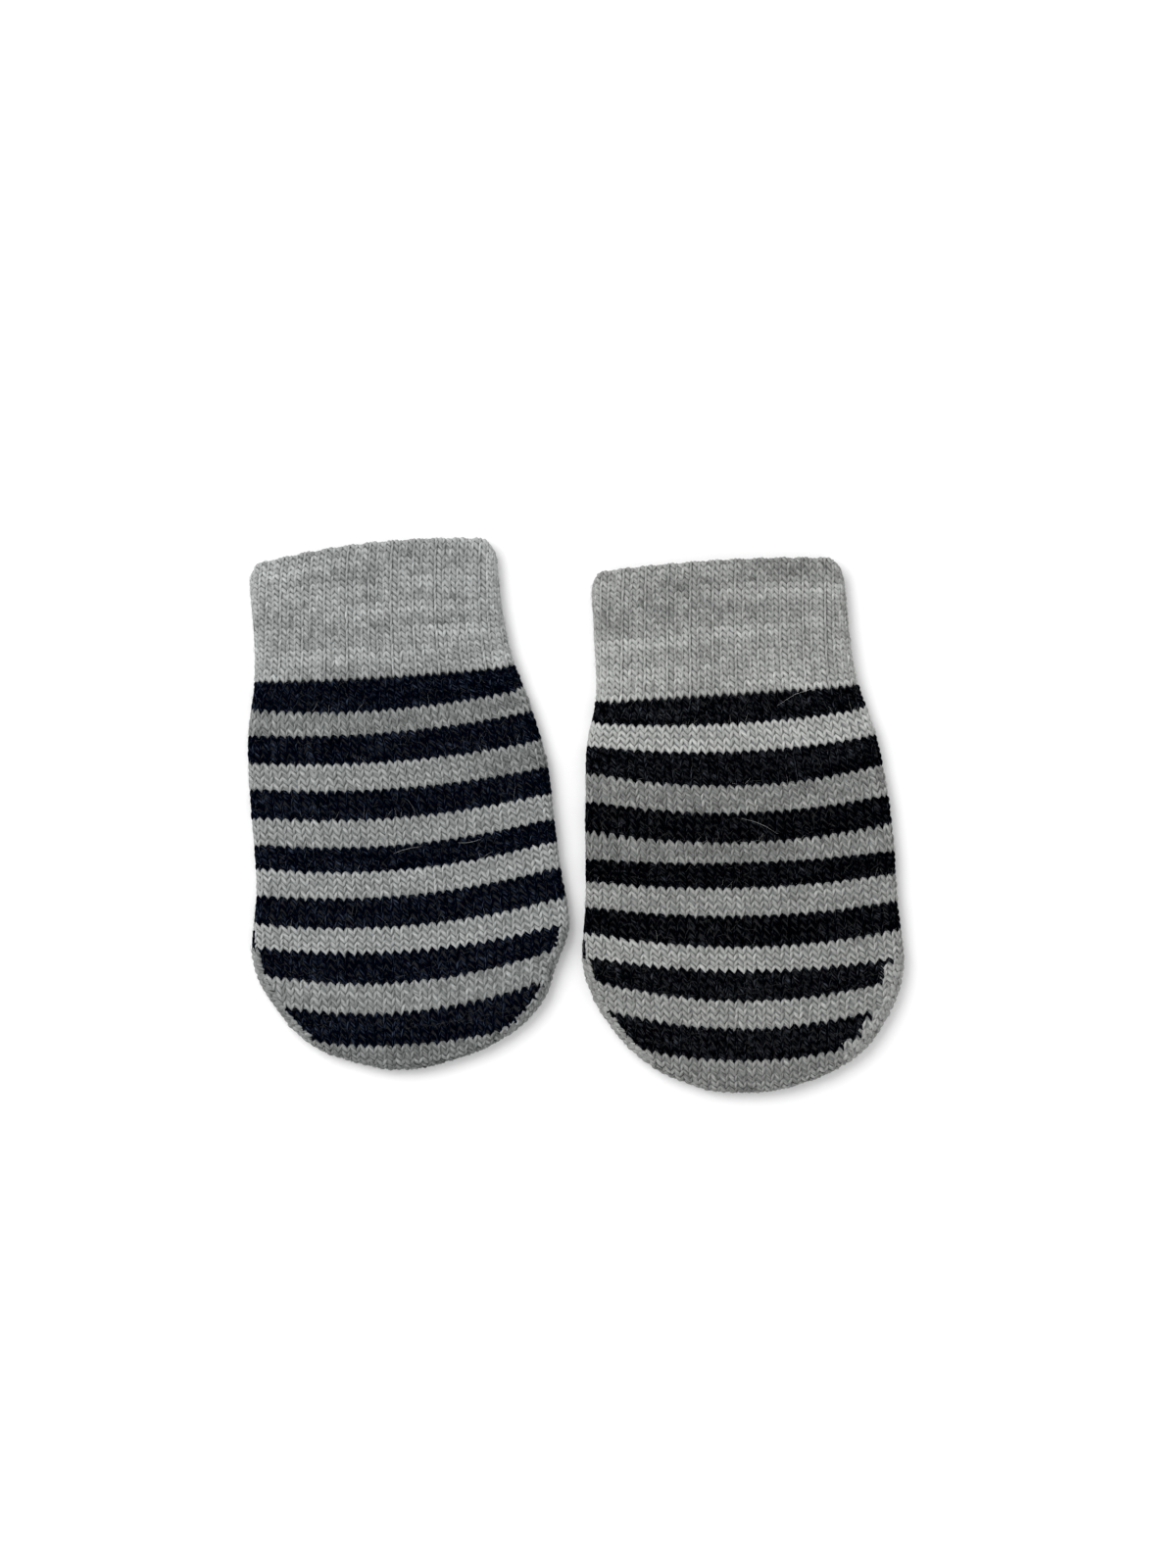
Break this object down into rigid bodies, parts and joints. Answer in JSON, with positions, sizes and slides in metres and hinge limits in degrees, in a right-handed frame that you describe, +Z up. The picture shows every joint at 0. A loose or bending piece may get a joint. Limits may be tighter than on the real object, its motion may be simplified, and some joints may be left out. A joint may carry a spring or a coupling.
{
  "type": "pair of knitted baby mittens",
  "caption": "Pair of thumbless knitted baby mittens in grey heather and charcoal stripes, laid flat side by side with plain cuffs and rounded tips.",
  "frame": {"origin": "centre of the pair's bounding box, on the surface the mittens lie on", "axes": "+X from the left mitten to the right one, +Y towards the cuffs, +Z up"},
  "size_m": [0.1306, 0.1106, 0.0066],
  "materials": {
    "cuff_wool": "matt grey heather knit",
    "hand_wool": "matt knit, charcoal and grey heather stripes",
    "tip_wool": "matt knit, charcoal and grey heather stripes, grey rim"
  },
  "bodies": {
    "root": {"left_cuff": "cuff_wool", "left_hand": "hand_wool", "left_tip": "tip_wool", "right_cuff": "cuff_wool", "right_hand": "hand_wool", "right_tip": "tip_wool"}
  },
  "joints": []
}
